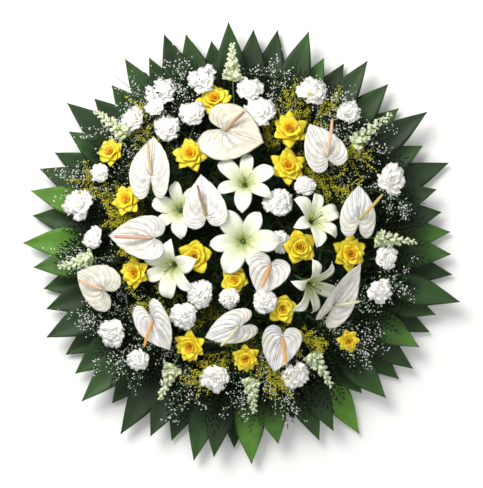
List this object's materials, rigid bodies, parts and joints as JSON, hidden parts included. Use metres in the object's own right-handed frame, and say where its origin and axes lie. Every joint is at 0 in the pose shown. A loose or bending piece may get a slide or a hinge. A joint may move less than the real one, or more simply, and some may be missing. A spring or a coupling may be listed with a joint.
{
  "type": "funeral wreath",
  "caption": "Round domed funeral wreath of white and yellow blooms over a ring of dark pointed leaves, lying face up on its tray.",
  "frame": {"origin": "centre of the tray's underside", "axes": "+Z out of the flowers' face, +Y towards the wreath's top as it is seen from the front, +X to the right"},
  "size_m": [1.0641, 1.0754, 0.2406],
  "materials": {
    "tray": "moulded, dark green",
    "foam": "wet floral foam, matt green",
    "rim_leaf": "waxy dark green leaf with parallel veins",
    "greens": "dark leafy greens",
    "spathe": "waxy white with grey-lilac veins and a green flush at the lobes",
    "lily_petal": "white, green-yellow at the throat",
    "rose_petal": "velvety lemon yellow, amber at the heart",
    "carnation_petal": "white, cream at the base",
    "snapdragon_floret": "greenish white",
    "solidago_floret": "dull olive yellow",
    "gypsophila_floret": "white"
  },
  "bodies": {
    "root": {"tray": "tray", "foam_disc": "foam", "leaf_collar_lower": "rim_leaf", "leaf_collar_middle": "rim_leaf", "leaf_collar_upper": "rim_leaf", "greens_garland": "greens", "anthurium_01": "spathe", "anthurium_02": "spathe", "anthurium_03": "spathe", "anthurium_04": "spathe", "anthurium_05": "spathe", "anthurium_06": "spathe", "anthurium_07": "spathe", "anthurium_08": "spathe", "anthurium_09": "spathe", "anthurium_10": "spathe", "anthurium_11": "spathe", "anthurium_12": "spathe", "lily_1": "lily_petal", "lily_2": "lily_petal", "lily_3": "lily_petal", "lily_4": "lily_petal", "lily_5": "lily_petal", "lily_6": "lily_petal", "rose_bunch_1": "rose_petal", "rose_bunch_2": "rose_petal", "rose_bunch_3": "rose_petal", "rose_bunch_4": "rose_petal", "rose_bunch_5": "rose_petal", "rose_bunch_6": "rose_petal", "rose_bunch_7": "rose_petal", "rose_bunch_8": "rose_petal", "carnation_bunch_01": "carnation_petal", "carnation_bunch_02": "carnation_petal", "carnation_bunch_03": "carnation_petal", "carnation_bunch_04": "carnation_petal", "carnation_bunch_05": "carnation_petal", "carnation_bunch_06": "carnation_petal", "carnation_bunch_07": "carnation_petal", "carnation_bunch_08": "carnation_petal", "carnation_bunch_09": "carnation_petal", "carnation_bunch_10": "carnation_petal", "carnation_bunch_11": "carnation_petal", "carnation_bunch_12": "carnation_petal", "carnation_bunch_13": "carnation_petal", "snapdragon_1": "snapdragon_floret", "snapdragon_2": "snapdragon_floret", "snapdragon_3": "snapdragon_floret", "snapdragon_4": "snapdragon_floret", "snapdragon_5": "snapdragon_floret", "snapdragon_6": "snapdragon_floret", "snapdragon_7": "snapdragon_floret", "snapdragon_8": "snapdragon_floret", "solidago_spray_1": "solidago_floret", "solidago_spray_2": "solidago_floret", "solidago_spray_3": "solidago_floret", "gypsophila_spray_1": "gypsophila_floret", "gypsophila_spray_2": "gypsophila_floret", "gypsophila_spray_3": "gypsophila_floret", "gypsophila_spray_4": "gypsophila_floret"}
  },
  "joints": []
}
